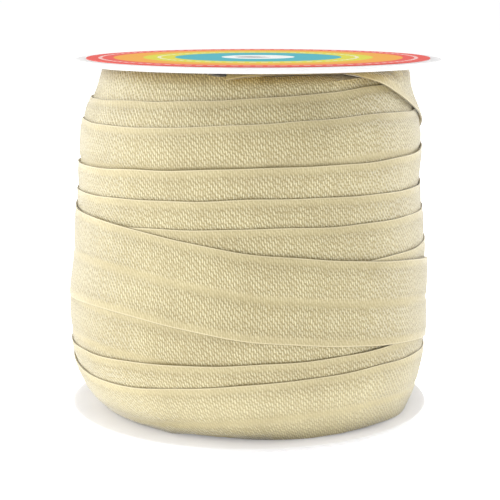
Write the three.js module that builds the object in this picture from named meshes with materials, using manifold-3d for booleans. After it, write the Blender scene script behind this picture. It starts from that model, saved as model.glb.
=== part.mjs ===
// A roll of fold-over elastic wound on a flanged spool.
// Millimetres, +Z up. The origin is on the resting plane, under the middle of the part.
// Around the roll, an angle of 0 faces the front (-Y), and it grows towards the right (+X).

import * as THREE from 'three';
import Module from 'manifold-3d';
import { mergeVertices } from 'three/addons/utils/BufferGeometryUtils.js';

const wasm = await Module();
wasm.setup();

// Driving dimensions
const GAP = 0.3; // left between pieces that touch
const FULL_TURN = 360;
const STEPS_PER_TURN = 96;
const BORE_STEPS = 32;
const MERGE_WITHIN = 1e-3;

const spoolHeight = 69.5; // from the resting plane to the top of the upper flange
const flange = { diameter: 72, thickness: 1, edgeRound: 0.35, bore: 6.2 };
// Each flange sits this far off the bore, the lower one to the left and the upper one to the right
const flangeShift = 0.9;
const label = { diameter: 67.4, thickness: 0.2, edgeRound: 0, bore: 7.4 };
const core = { diameter: 14, bore: flange.bore };
const tape = { width: 16, thickness: 0.5, looseThickness: 1 };

const rollBottom = flange.thickness + GAP;
const rollTop = spoolHeight - flange.thickness - GAP;
const rollBore = core.diameter / 2 + GAP;
const rollCentreX = -flangeShift;

// The roll's side, from the lower flange to the upper one
const rollSide = [
  { height: rollBottom, radius: 32.2 },
  { height: 5, radius: 33.6 },
  { height: 9.5, radius: 34.9 },
  { height: 13, radius: 35.3 },
  { height: 18, radius: 35.4 },
  { height: 24, radius: 35.35 },
  { height: 30, radius: 35.1 },
  { height: 36, radius: 34.7 },
  { height: 42, radius: 34.2 },
  { height: 47, radius: 33.9 },
  { height: 54, radius: 33.7 },
  { height: 58.5, radius: 33.2 },
  { height: 61, radius: 32.2 },
  { height: 64.5, radius: 30.5 },
  { height: rollTop, radius: 29.4 },
];

// Where the columns of the wrap table lie. The tape runs from right to left across the front.
const columnAngle = { right: 80, nearRight: 40, front: 0, nearLeft: -40, left: -80 };
const offRoll = 12; // how far past the roll's end a wrap that isn't seen lies
const ABOVE = rollTop + offRoll;
const BELOW = rollBottom - offRoll;

// Height of each wrap's upper edge, with the share of the tape's thickness that it stands proud.
// Every wrap lies over the lower part of the one before it. The row before the last is the fold
// in the lowest wrap.
const wraps = [
  { right: ABOVE, nearRight: ABOVE, front: ABOVE, nearLeft: ABOVE, left: ABOVE, proud: 1 },
  { right: 74, nearRight: 72.5, front: 71, nearLeft: 70, left: 69.3, proud: 1 },
  { right: 66, nearRight: 65.5, front: 64.1, nearLeft: 63.2, left: 62.5, proud: 1 },
  { right: 60.4, nearRight: 60.8, front: 59.7, nearLeft: 58.6, left: 58.4, proud: 1 },
  { right: 52.9, nearRight: 52.3, front: 52, nearLeft: 50.9, left: 50, proud: 1 },
  { right: 45.9, nearRight: 46.3, front: 46.4, nearLeft: 45.5, left: 44.7, proud: 1 },
  { right: 41, nearRight: 41.1, front: 41.2, nearLeft: 40.4, left: 39.4, proud: 1 },
  { right: 34.6, nearRight: 34.2, front: 33.6, nearLeft: 32.6, left: 31.6, proud: 1 },
  { right: 29, nearRight: 28.6, front: 28, nearLeft: 27, left: 26, proud: 1 },
  { right: 23.2, nearRight: 22.8, front: 22.2, nearLeft: 21.2, left: 20.2, proud: 1 },
  { right: 17.2, nearRight: 17.4, front: 16.9, nearLeft: 15.7, left: 14.7, proud: 1 },
  { right: 13.5, nearRight: 13.8, front: 12.6, nearLeft: 10.1, left: 8.5, proud: 1 },
  { right: 6.8, nearRight: 6.5, front: 5.1, nearLeft: 3.3, left: 2.6, proud: 0 },
  { right: BELOW, nearRight: BELOW, front: BELOW, nearLeft: BELOW, left: BELOW, proud: 0 },
];
const ledgeHeight = 0.3;
const ledgeFade = 1; // a wrap's edge thins out over this height where it runs off the roll

// The last wrap leaves the bottom row, climbs round the back, crosses the front over all the others
// and climbs round the back again. travel is in degrees from the front of the bottom row.
const lastWrap = [
  { travel: 40, upperEdge: 10.2 },
  { travel: 80, upperEdge: 10.6 },
  { travel: 180, upperEdge: 19.5 },
  { travel: 280, upperEdge: 30.9 },
  { travel: 320, upperEdge: 34.1 },
  { travel: 360, upperEdge: 36.9 },
  { travel: 400, upperEdge: 40.1 },
  { travel: 440, upperEdge: 42.2 },
  { travel: 490, upperEdge: 47.5 },
  { travel: 540, upperEdge: 55.2 },
  { travel: 600, upperEdge: 66.6 },
];
const lastWrapRows = 4;
const lastWrapDepth = 1.1; // how far it is let into the rows under it
const rise = { start: 40, end: 60, from: -0.25 }; // where it comes up out of the bottom row
const liftOff = { start: 520, end: 600, height: GAP + tape.looseThickness - tape.thickness };

// The loose end runs on from the last wrap, turns in under the upper flange and stops at the front
const looseEnd = [
  { travel: 600.6, lowerEdge: 50.7 },
  { travel: 620, lowerEdge: 54.9 },
  { travel: 640, lowerEdge: 59.4 },
  { travel: 650, lowerEdge: 61.4 },
  { travel: 660, lowerEdge: 64 },
  { travel: 670, lowerEdge: 66.2 },
  { travel: 682, lowerEdge: 67.4 },
  { travel: 731, lowerEdge: 67.5 },
];
const looseBend = 1.6; // radius of its middle line where it turns in
const shoulderRadius = 30.6; // least radius of the roll's side under it
const leastStretch = 0.1;
const uprightShares = [1, 0.75, 0.5, 0.25]; // where points lie between its lower edge and the bend
const bendShares = [0, 1 / 3, 2 / 3, 1];
const pocket = { start: -23, end: 131, blend: 10, depth: GAP + tape.looseThickness };

// Height or share at a place in a table sorted by the column x
function placeIn(rows, x, at) {
  const clamped = THREE.MathUtils.clamp(at, rows[0][x], rows[rows.length - 1][x]);
  const above = Math.max(1, rows.findIndex((row) => clamped <= row[x]));
  const span = rows[above][x] - rows[above - 1][x];
  return { above, span, share: (clamped - rows[above - 1][x]) / span };
}

function straightThrough(rows, x, y, at) {
  const { above, share } = placeIn(rows, x, at);
  return THREE.MathUtils.lerp(rows[above - 1][y], rows[above][y], share);
}

// The same with a smooth curve, by cubic pieces that share their slopes at the rows
function curveThrough(rows, x, y, at) {
  const { above, span, share } = placeIn(rows, x, at);
  const rowSlope = (k) => {
    const before = Math.max(k - 1, 0);
    const after = Math.min(k + 1, rows.length - 1);
    return (rows[after][y] - rows[before][y]) / (rows[after][x] - rows[before][x]);
  };
  const from = rows[above - 1][y];
  const slope = (rows[above][y] - from) / span;
  const startPull = rowSlope(above - 1) - slope;
  const endPull = rowSlope(above) - slope;
  const bend = share * (1 - share) * ((1 - share) * startPull - share * endPull);
  return from + (slope * share + bend) * span;
}

const sideRadius = (height) => straightThrough(rollSide, 'height', 'radius', height);

function onRoll(angle, radius, height) {
  const turn = THREE.MathUtils.degToRad(angle);
  return new THREE.Vector3(rollCentreX + radius * Math.sin(turn), -radius * Math.cos(turn), height);
}

// The roll is pressed down a little where the loose end lies on it
function topOfRoll(angle) {
  const turned = THREE.MathUtils.euclideanModulo(angle + FULL_TURN / 2, FULL_TURN) - FULL_TURN / 2;
  const into = Math.min(turned - pocket.start, pocket.end - turned);
  return rollTop - pocket.depth * THREE.MathUtils.smoothstep(into, 0, pocket.blend);
}

function solidOf(geometry) {
  const bare = geometry.clone();
  bare.deleteAttribute('normal');
  bare.deleteAttribute('uv');
  const merged = mergeVertices(bare, MERGE_WITHIN);
  return new wasm.Manifold(new wasm.Mesh({
    numProp: 3,
    vertProperties: new Float32Array(merged.attributes.position.array),
    triVerts: new Uint32Array(merged.index.array),
  }));
}

function geometryOf(solid) {
  const mesh = solid.getMesh();
  const geometry = new THREE.BufferGeometry();
  geometry.setAttribute('position', new THREE.BufferAttribute(mesh.vertProperties, 3));
  geometry.setIndex(new THREE.BufferAttribute(mesh.triVerts, 1));
  geometry.computeVertexNormals();
  return geometry;
}

// A closed mesh from points and four-sided faces. Faces that shrink to a line are left out.
function meshOfQuads(points, quads) {
  const raw = new THREE.BufferGeometry();
  const numbers = points.flatMap((point) => point.toArray());
  raw.setAttribute('position', new THREE.Float32BufferAttribute(numbers, 3));
  raw.setIndex(quads.flatMap(([a, b, c, d]) => [a, b, c, a, c, d]));
  const merged = mergeVertices(raw, MERGE_WITHIN);
  const kept = [];
  for (let k = 0; k < merged.index.count; k += 3) {
    const corners = [0, 1, 2].map((n) => merged.index.getX(k + n));
    if (new Set(corners).size === 3) kept.push(...corners);
  }
  merged.setIndex(kept);
  merged.computeVertexNormals();
  return merged;
}

// A strip from rings that each run down its outside and back up its inside, closed at both ends
function loft(rings) {
  const sides = rings[0].length;
  const quads = [];
  for (let ring = 0; ring + 1 < rings.length; ring += 1) {
    const [near, far] = [ring * sides, (ring + 1) * sides];
    for (let side = 0; side < sides; side += 1) {
      const next = (side + 1) % sides;
      quads.push([near + side, far + side, far + next, near + next]);
    }
  }
  const end = (rings.length - 1) * sides;
  for (let side = 0; side < sides / 2 - 1; side += 1) {
    const opposite = sides - 1 - side;
    quads.push([side, side + 1, opposite - 1, opposite]);
    quads.push([end + side, end + opposite, end + opposite - 1, end + side + 1]);
  }
  return meshOfQuads(rings.flat(), quads);
}

// A disc that stands on z = 0, with rounded edges where edgeRound isn't 0, less a bore at boreX
function boredDisc({ diameter, thickness, edgeRound, bore }, boreX) {
  const inner = diameter / 2 - edgeRound;
  const side = new THREE.Path();
  side.moveTo(0, 0);
  side.lineTo(inner, 0);
  if (edgeRound > 0) {
    side.absarc(inner, edgeRound, edgeRound, -Math.PI / 2, 0);
    side.absarc(inner, thickness - edgeRound, edgeRound, 0, Math.PI / 2);
  } else {
    side.lineTo(inner, thickness);
  }
  side.lineTo(0, thickness);
  const disc = new THREE.LatheGeometry(side.getPoints(1), STEPS_PER_TURN);
  const holeLength = thickness * 3; // past both faces
  const hole = new THREE.CylinderGeometry(bore / 2, bore / 2, holeLength, BORE_STEPS);
  hole.translate(boreX, thickness / 2, 0);
  const cut = geometryOf(solidOf(disc).subtract(solidOf(hole)));
  return cut.rotateX(Math.PI / 2);
}

function coreTube() {
  const corner = (diameter, height) => new THREE.Vector2(diameter / 2, height);
  const wall = [
    corner(core.bore, rollBottom),
    corner(core.diameter, rollBottom),
    corner(core.diameter, rollTop),
    corner(core.bore, rollTop),
    corner(core.bore, rollBottom),
  ];
  return new THREE.LatheGeometry(wall, BORE_STEPS).rotateX(Math.PI / 2);
}

// The wound rows are one helical band: each step has a point on the wrap's upper edge and one in
// the crease above it, and the steps run from the back of the first wrap down to the last.
function woundRows() {
  const degrees = FULL_TURN / STEPS_PER_TURN;
  const steps = wraps.length * STEPS_PER_TURN;
  const rows = wraps.flatMap((wrap, turn) => Object.entries(columnAngle).map(([column, angle]) => (
    { turned: (turn + 0.5) * FULL_TURN - angle, height: wrap[column], proud: wrap.proud }
  )));
  const angleAt = (step) => FULL_TURN / 2 - step * degrees;
  const edges = [];
  const creases = [];
  for (let step = 0; step <= steps; step += 1) {
    const angle = angleAt(step);
    const top = topOfRoll(angle);
    const free = curveThrough(rows, 'turned', 'height', step * degrees);
    const height = THREE.MathUtils.clamp(free, rollBottom, top);
    const fade = THREE.MathUtils.clamp(Math.min(top - height, height - rollBottom) / ledgeFade, 0, 1);
    const proud = straightThrough(rows, 'turned', 'proud', step * degrees) * fade;
    const creaseHeight = height + ledgeHeight * fade;
    edges.push(onRoll(angle, sideRadius(height), height));
    creases.push(onRoll(angle, sideRadius(creaseHeight) - tape.thickness * proud, creaseHeight));
  }
  const bore = [];
  for (let step = 0; step < STEPS_PER_TURN; step += 1) {
    const turn = THREE.MathUtils.degToRad(angleAt(step));
    const [x, y] = [rollBore * Math.sin(turn), -rollBore * Math.cos(turn)];
    bore.push(new THREE.Vector3(x, y, topOfRoll(angleAt(step))), new THREE.Vector3(x, y, rollBottom));
  }
  const quads = [];
  const crease = (step) => edges.length + step;
  for (let step = 0; step + STEPS_PER_TURN < steps; step += 1) {
    const under = step + STEPS_PER_TURN;
    quads.push([step, step + 1, crease(under + 1), crease(under)]);
    quads.push([crease(under), crease(under + 1), under + 1, under]);
  }
  const upperBore = (step) => edges.length + creases.length + 2 * (step % STEPS_PER_TURN);
  const lowerBore = (step) => upperBore(step) + 1;
  const lastTurn = steps - STEPS_PER_TURN;
  for (let step = 0; step < STEPS_PER_TURN; step += 1) {
    quads.push([upperBore(step), upperBore(step + 1), step + 1, step]);
    quads.push([lowerBore(step), lowerBore(step + 1), upperBore(step + 1), upperBore(step)]);
    quads.push([lastTurn + step, lastTurn + step + 1, lowerBore(step + 1), lowerBore(step)]);
  }
  return meshOfQuads([...edges, ...creases, ...bore], quads);
}

// The last wrap is a strip let into the rows, which follows the roll's side in a few flat rows
function lastWrapSection(travel) {
  const angle = -travel;
  const free = curveThrough(lastWrap, 'travel', 'upperEdge', travel);
  const upper = Math.min(free, topOfRoll(angle) - GAP);
  const lower = Math.max(upper - tape.width, rollBottom);
  const risen = THREE.MathUtils.smoothstep(travel, rise.start, rise.end);
  const lifted = THREE.MathUtils.smoothstep(travel, liftOff.start, liftOff.end);
  const proud = THREE.MathUtils.lerp(rise.from, tape.thickness, risen) + liftOff.height * lifted;
  const outside = [];
  const inside = [];
  for (let row = 0; row <= lastWrapRows; row += 1) {
    const height = THREE.MathUtils.lerp(upper, lower, row / lastWrapRows);
    outside.push(onRoll(angle, sideRadius(height) + proud, height));
    inside.unshift(onRoll(angle, sideRadius(height) - lastWrapDepth, height));
  }
  return [...outside, ...inside];
}

// The middle line across the loose end, from its lower edge up the roll's side, round the bend and
// in under the flange. turn is how far the tape has turned from upright to level.
function looseMiddle(travel) {
  const level = rollTop - tape.looseThickness / 2;
  const bendStart = level - looseBend;
  const clear = GAP + tape.looseThickness / 2;
  const outward = (height) => Math.max(sideRadius(height), shoulderRadius) + clear;
  const bendCentre = outward(bendStart) - looseBend;
  const onBend = (turn) => ({
    radius: bendCentre + looseBend * Math.cos(turn),
    height: bendStart + looseBend * Math.sin(turn),
    turn,
  });
  const lowest = curveThrough(looseEnd, 'travel', 'lowerEdge', travel);
  const firstTurn = Math.asin(THREE.MathUtils.clamp((lowest - bendStart) / looseBend, 0, 1));
  const upright = Math.max(bendStart - lowest, leastStretch);
  const roundMost = looseBend * (Math.PI / 2 - firstTurn);
  const round = THREE.MathUtils.clamp(tape.width - upright - leastStretch, leastStretch, roundMost);
  const inward = tape.width - upright - round;
  const start = onBend(firstTurn);
  const line = [];
  for (const share of uprightShares) {
    const height = start.height - upright * share * Math.cos(firstTurn);
    const bulge = outward(height) - outward(start.height);
    line.push({
      radius: start.radius + bulge + upright * share * Math.sin(firstTurn),
      height,
      turn: firstTurn,
    });
  }
  for (const share of bendShares) line.push(onBend(firstTurn + (round * share) / looseBend));
  const bent = line[line.length - 1];
  line.push({
    radius: bent.radius - inward * Math.sin(bent.turn),
    height: bent.height + inward * Math.cos(bent.turn),
    turn: bent.turn,
  });
  return line;
}

function looseSection(travel) {
  const line = looseMiddle(travel);
  const offset = (side) => line.map(({ radius, height, turn }) => (
    onRoll(-travel, radius + side * Math.cos(turn), height + side * Math.sin(turn))
  ));
  const half = tape.looseThickness / 2;
  return [...offset(half).reverse(), ...offset(-half)];
}

// A strip through a section at each step of the rows of a table sorted by travel
function stripThrough(rows, section) {
  const [first, last] = [rows[0].travel, rows[rows.length - 1].travel];
  const steps = Math.round(((last - first) * STEPS_PER_TURN) / FULL_TURN);
  const rings = [];
  for (let step = 0; step <= steps; step += 1) {
    rings.push(section(THREE.MathUtils.lerp(first, last, step / steps)));
  }
  return loft(rings);
}

const finishes = {
  plastic: { color: 0xf4f3f0, roughness: 0.35, metalness: 0 },
  board: { color: 0xd9c7a0, roughness: 0.85, metalness: 0 },
  paper: { color: 0x2fb0bf, roughness: 0.5, metalness: 0 },
  elastic: { color: 0xd6c99a, roughness: 0.7, metalness: 0 },
};

function piece(name, finish, geometry, x = 0, z = 0) {
  const mesh = new THREE.Mesh(geometry, new THREE.MeshStandardMaterial(finishes[finish]));
  mesh.name = name;
  mesh.position.set(x, 0, z);
  return mesh;
}

const upperFlangeBase = spoolHeight - flange.thickness;
const wound = solidOf(woundRows()).add(solidOf(stripThrough(lastWrap, lastWrapSection)));

const roll = new THREE.Group();
roll.add(
  piece('flange_bottom', 'plastic', boredDisc(flange, flangeShift), -flangeShift, 0),
  piece('flange_top', 'plastic', boredDisc(flange, -flangeShift), flangeShift, upperFlangeBase),
  piece('spool_core', 'board', coreTube()),
  piece('label_disc', 'paper', boredDisc(label, -flangeShift), flangeShift, spoolHeight + GAP),
  piece('wound_elastic', 'elastic', geometryOf(wound)),
  piece('loose_end', 'elastic', stripThrough(looseEnd, looseSection)),
);

export default roll;
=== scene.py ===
"""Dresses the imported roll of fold-over elastic: its tape, spool, core and label, in a white studio.

Sizes are in millimetres up to the point where a mesh is made, and Blender's metres after it. Around
the roll, an angle of 0 faces the front (-Y), and it grows towards the right (+X). The tape runs from
right to left across the front, and travel counts degrees along it from the front of its lowest wrap.
"""

import logging
import math
from dataclasses import dataclass, field
from enum import Enum

import bpy
import numpy as np
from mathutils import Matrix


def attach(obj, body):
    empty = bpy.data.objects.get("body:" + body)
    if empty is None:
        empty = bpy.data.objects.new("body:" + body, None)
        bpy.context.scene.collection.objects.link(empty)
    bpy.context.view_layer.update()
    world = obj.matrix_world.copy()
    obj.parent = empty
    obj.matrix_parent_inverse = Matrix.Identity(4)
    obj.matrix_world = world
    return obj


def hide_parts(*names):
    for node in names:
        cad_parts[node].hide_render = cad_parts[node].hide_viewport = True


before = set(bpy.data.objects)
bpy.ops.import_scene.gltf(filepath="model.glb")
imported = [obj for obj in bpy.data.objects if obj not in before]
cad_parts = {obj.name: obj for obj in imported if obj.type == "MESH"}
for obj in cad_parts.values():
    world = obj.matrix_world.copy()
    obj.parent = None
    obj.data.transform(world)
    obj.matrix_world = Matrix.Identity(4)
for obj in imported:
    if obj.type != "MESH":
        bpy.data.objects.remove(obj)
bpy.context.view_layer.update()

log = logging.getLogger("elastic_roll")

MM = 0.001
FULL_TURN = 360.0
NOISE_RANGE = (0.3, 0.7)  # from a low value of Blender's noise to a high one
SIDE_STEPS = 400  # points at which the length up the roll's side is measured

Colour = tuple[float, float, float]
Points = np.ndarray


class Slot(Enum):
    """The record's material slots."""

    PLASTIC = "plastic"
    BOARD = "board"
    PAPER = "paper"
    ELASTIC = "elastic"


def rgb(red: int, green: int, blue: int) -> Colour:
    """Turns a colour as seen on a screen into the linear numbers that a shader takes.

    Args:
        red: red, 0 to 255.
        green: green, 0 to 255.
        blue: blue, 0 to 255.

    Returns:
        The three linear numbers, 0 to 1.
    """

    def linear(level: int) -> float:
        """Undoes the screen's curve for one colour's level."""
        share = level / 255
        return share / 12.92 if share <= 0.04045 else ((share + 0.055) / 1.055) ** 2.4

    return (linear(red), linear(green), linear(blue))


WHITE = rgb(255, 255, 255)


def smooth_step(x: Points, low: float, high: float) -> Points:
    """Rises smoothly from 0 where x is at low to 1 where it is at high, and is level past both."""
    share = np.clip((np.asarray(x, float) - low) / (high - low), 0.0, 1.0)
    return share * share * (3 - 2 * share)


@dataclass(frozen=True)
class Curve:
    """A smooth curve through a short table, by cubic pieces that share their slopes at the rows.

    Attributes:
        rows: pairs of place and height, sorted by place.
    """

    rows: tuple[tuple[float, float], ...]

    def __call__(self, at: Points) -> Points:
        """Reads the curve.

        Args:
            at: the places to read it at. Past the ends it keeps the end's height.

        Returns:
            The heights there.
        """
        place, height = np.array(self.rows, float).T
        slope = np.diff(height) / np.diff(place)
        last = len(place) - 1
        before = np.maximum(np.arange(last + 1) - 1, 0)
        after = np.minimum(np.arange(last + 1) + 1, last)
        pull = (height[after] - height[before]) / (place[after] - place[before])
        x = np.clip(np.asarray(at, float), place[0], place[-1])
        k = np.clip(np.searchsorted(place, x, side="left") - 1, 0, last - 1)
        span = place[k + 1] - place[k]
        share = (x - place[k]) / span
        bend = share * (1 - share) * (
            (1 - share) * (pull[k] - slope[k]) - share * (pull[k + 1] - slope[k])
        )
        return height[k] + (slope[k] * share + bend) * span


@dataclass(frozen=True)
class Ripple:
    """A small unevenness that runs along the tape.

    Attributes:
        depth: about how far it reaches, in millimetres.
        shortest: its shortest wave, in degrees of travel.
        longest: its longest wave.
        seed: what sets its waves apart from another's.
        waves: how many waves it is made of.
    """

    depth: float
    shortest: float
    longest: float
    seed: int
    waves: int = 7

    def __call__(self, travel: Points) -> Points:
        """Reads the ripple.

        Args:
            travel: places along the tape, in degrees.

        Returns:
            The ripple's height there.
        """
        chance = np.random.default_rng(self.seed)
        lengths = np.geomspace(self.shortest, self.longest, self.waves)
        phases = chance.uniform(0, 2 * math.pi, self.waves)
        waves = np.sin(np.multiply.outer(np.asarray(travel, float), 2 * math.pi / lengths) + phases)
        return self.depth * waves.sum(axis=-1) / math.sqrt(self.waves)


class Shader:
    """A material's nodes, added one by one and joined as they are added."""

    def __init__(self, name: str) -> None:
        """Starts a material with an empty tree.

        Args:
            name: the material's name.
        """
        self.material = bpy.data.materials.new(name)
        self.material.use_nodes = True
        self.tree = self.material.node_tree
        self.tree.nodes.clear()

    def node(self, kind: str, inputs: dict | None = None, **settings: object) -> bpy.types.Node:
        """Adds a node.

        Args:
            kind: the node's type, without the words ShaderNode.
            inputs: a value or another node's socket for each named or numbered input.
            settings: values for the node's own settings.

        Returns:
            The node.
        """
        made = self.tree.nodes.new("ShaderNode" + kind)
        for name, value in settings.items():
            setattr(made, name, value)
        for key, value in (inputs or {}).items():
            socket = made.inputs[key]
            if isinstance(value, bpy.types.NodeSocket):
                self.tree.links.new(value, socket)
            else:
                socket.default_value = value
        return made

    def math(self, operation: str, *values: object) -> bpy.types.NodeSocket:
        """Adds a Math node that works on numbers or sockets, and gives its answer's socket."""
        return self.node("Math", dict(enumerate(values)), operation=operation).outputs[0]

    def rise(self, value: object, low: float, high: float) -> bpy.types.NodeSocket:
        """Adds a smooth rise from 0 at low to 1 at high, or a fall where low is the larger.

        Args:
            value: the socket that is read.
            low: where the answer is 0.
            high: where the answer is 1.

        Returns:
            The answer's socket.
        """
        made = self.node(
            "MapRange",
            {"Value": value, "From Min": low, "From Max": high},
            interpolation_type="SMOOTHSTEP",
        )
        return made.outputs["Result"]

    def blend(
        self, share: object, first: object, second: object, kind: str = "MIX"
    ) -> bpy.types.NodeSocket:
        """Adds a blend of two colours.

        Args:
            share: 0 for all of the first, 1 for all of the second.
            first: the first colour or its socket.
            second: the second colour or its socket.
            kind: the Mix node's blend type. With MULTIPLY and a share of 1, it shows the first
                colour through the second.

        Returns:
            The blend's socket.
        """
        made = self.node("Mix", {"Factor": share}, data_type="RGBA", blend_type=kind)
        for key, value in (("A", first), ("B", second)):
            socket = next(s for s in made.inputs if s.name == key and s.type == "RGBA")
            if isinstance(value, bpy.types.NodeSocket):
                self.tree.links.new(value, socket)
            else:
                socket.default_value = (*value, 1.0)
        return next(s for s in made.outputs if s.type == "RGBA")

    def noise(self, where: object, scale: float, detail: float = 2.0) -> bpy.types.NodeSocket:
        """Adds cloudy noise, about 0.3 to 0.7, with scale waves to a unit and detail finer layers."""
        made = self.node("TexNoise", {"Vector": where, "Scale": scale, "Detail": detail})
        return made.outputs[0]

    def bump(self, height: object, depth: float) -> bpy.types.NodeSocket:
        """Adds a relief that stands depth millimetres higher where height is 1 than where it is 0."""
        made = self.node("Bump", {"Height": height, "Distance": depth * MM, "Strength": 1.0})
        return made.outputs["Normal"]

    def surface(self, **inputs: object) -> bpy.types.Material:
        """Adds the surface that all of it feeds, and closes the material.

        Args:
            inputs: the Principled BSDF's inputs, with _ for a blank.

        Returns:
            The material.
        """
        named = {key.replace("_", " "): value for key, value in inputs.items()}
        for key, value in named.items():
            if isinstance(value, tuple) and len(value) == 3 and "Radius" not in key:
                named[key] = (*value, 1.0)
        shader = self.node("BsdfPrincipled", named)
        self.node("OutputMaterial", {"Surface": shader.outputs[0]})
        return self.material


@dataclass(frozen=True)
class KnitFinish:
    """Fold-over elastic: two shiny knitted bands, a fold between them and a close selvage each side.

    The tape's own map gives metres along it and metres down from its upper edge.

    Attributes:
        thread: colour of the shiny threads.
        ground: colour between them.
        selvage: colour of the close strips.
        fold: colour down in the fold.
        fold_reach: distances from the fold's middle at which its colour is whole and is gone.
        rim: painted highlight, a paler colour along the last threads at either edge.
        edge_highlight_reach: distances from the edge at which the painted highlight starts and is whole.
        side: painted shade, a dark colour on the tape's narrow sides for the lines between the turns.
        gap_shade_reach: distances from the edge at which the painted shade starts and is whole.
        painted_shade_tint: tint of painted shade where the tape is least lit, mixed with a random cloud of
            tone.
        bulge_light: distances from a band's middle at which its painted light is least and most.
        cloud_scale: waves to a millimetre of a broad unevenness in the same tint.
        under_flange_shade: painted shade, a tint that darkens the rows just under the upper flange.
        under_flange_shade_reach: heights from which the painted shade shows, and at which it shows in full.
        foot_light: painted light, a lighter colour that the lowest rows fade towards.
        foot_light_reach: heights under which the painted light shows, and at which it shows most.
        foot_light_share: how much of it shows there.
        edge_knit: how much of the knit shows in the selvages and the fold.
        rib_pitch: distance from rib to rib along the tape.
        rib_lean: how far a rib leans along the tape for each millimetre across it.
        stitch_length: distance from stitch to stitch in a rib, across the tape. The next rib's
            stitches lie between them.
        slip: how far a rib's stitches are shifted by chance, as a share of a stitch.
        slant: how far a stitch leans from end to end, in ribs.
        stitch_sides: how far from its middle a stitch ends and is whole, in ribs.
        stitch_tips: the same along it, in stitches.
        drift: how far the ribs wander, in ribs.
        drift_scale: the wander's waves to a millimetre.
        dull: the most that a dull stitch loses.
        fibre: strength of the fine unevenness of the fibres.
        fibre_scale: its waves to a millimetre.
        fuzz: how far the bands' borders waver.
        fuzz_scale: the wavering's waves to a millimetre.
        relief: how far the stitches stand out.
        roughness: how rough the tape is where no shiny thread lies.
        polish: how much less rough the shiny threads are.
        sheen: how strongly the loose fibres shine at a grazing angle.
    """

    thread: Colour = rgb(236, 226, 181)
    ground: Colour = rgb(168, 150, 93)
    selvage: Colour = rgb(211, 197, 147)
    fold: Colour = rgb(208, 194, 143)
    fold_reach: tuple[float, float] = (0.2, 1.0)
    rim: Colour = rgb(232, 220, 178)
    edge_highlight_reach: tuple[float, float] = (0.4, 0.15)
    side: Colour = rgb(132, 114, 56)
    gap_shade_reach: tuple[float, float] = (0.12, 0.06)
    painted_shade_tint: Colour = rgb(234, 231, 223)
    bulge_light: tuple[float, float] = (3.4, 0.6)
    cloud_scale: float = 0.08
    under_flange_shade: Colour = rgb(230, 214, 160)
    under_flange_shade_reach: tuple[float, float] = (65.5, 68.0)
    foot_light: Colour = rgb(244, 234, 192)
    foot_light_reach: tuple[float, float] = (16.0, 4.0)
    foot_light_share: float = 0.25
    edge_knit: float = 0.42
    rib_pitch: float = 0.443
    rib_lean: float = 0.06
    stitch_length: float = 1.17
    slip: float = 0.4
    slant: float = 0.38
    stitch_sides: tuple[float, float] = (0.5, 0.1)
    stitch_tips: tuple[float, float] = (0.56, 0.2)
    drift: float = 1.6
    drift_scale: float = 0.3
    dull: float = 0.5
    fibre: float = 0.8
    fibre_scale: float = 3.2
    fuzz: float = 0.5
    fuzz_scale: float = 1.1
    relief: float = 0.1
    roughness: float = 0.6
    polish: float = 0.15
    sheen: float = 1.0

    def threads(self, s: Shader, along: object, across: object, place: object) -> bpy.types.NodeSocket:
        """Adds the stitches.

        Args:
            s: the material's nodes.
            along: millimetres along the tape.
            across: millimetres across it.
            place: both, as one socket.

        Returns:
            How much shiny thread there is, 0 to 1.
        """
        drift = s.math("MULTIPLY", s.noise(place, self.drift_scale), self.drift)
        leaning = s.math("MULTIPLY_ADD", across, self.rib_lean, along)
        rib_at = s.math("ADD", s.math("DIVIDE", leaning, self.rib_pitch), drift)
        rib = s.math("FLOOR", rib_at)
        rib_cell = s.node("CombineXYZ", {0: rib}).outputs[0]
        slip = s.node("TexWhiteNoise", {"Vector": rib_cell}, noise_dimensions="2D").outputs["Value"]
        stagger = s.math("MULTIPLY_ADD", slip, self.slip, s.math("MULTIPLY", rib, 0.5))
        stitch_at = s.math("ADD", s.math("DIVIDE", across, self.stitch_length), stagger)
        cell = s.node("CombineXYZ", {0: rib, 1: s.math("FLOOR", stitch_at)}).outputs[0]
        along_stitch = s.math("SUBTRACT", s.math("FRACT", stitch_at), 0.5)
        beside_rib = s.math("SUBTRACT", s.math("FRACT", rib_at), 0.5)
        wide = s.math("ABSOLUTE", s.math("MULTIPLY_ADD", along_stitch, self.slant, beside_rib))
        tall = s.math("ABSOLUTE", along_stitch)
        crown = s.math("MULTIPLY", s.rise(wide, *self.stitch_sides), s.rise(tall, *self.stitch_tips))
        chance = s.node("TexWhiteNoise", {"Vector": cell}, noise_dimensions="2D").outputs["Value"]
        loss = s.math("MULTIPLY", s.math("MULTIPLY", chance, chance), self.dull)
        shiny = s.math("MULTIPLY", crown, s.math("SUBTRACT", 1.0, loss))
        fibres = s.noise(place, self.fibre_scale, detail=1.0)
        return s.math("MULTIPLY_ADD", s.math("SUBTRACT", fibres, 0.5), self.fibre, shiny)

    def material(self, tape: "TapeSection") -> bpy.types.Material:
        """Makes the finish.

        Args:
            tape: the tape that it is for, which says where its bands are.

        Returns:
            The material.
        """
        s = Shader("knitted_elastic")
        chart = s.node("UVMap", uv_map=tape.chart).outputs[0]
        split = s.node("SeparateXYZ", {0: chart})
        along = s.math("DIVIDE", split.outputs[0], MM)
        across = s.math("DIVIDE", split.outputs[1], MM)
        place = s.node("CombineXYZ", {0: along, 1: across}).outputs[0]
        thread = self.threads(s, along, across, place)

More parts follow.
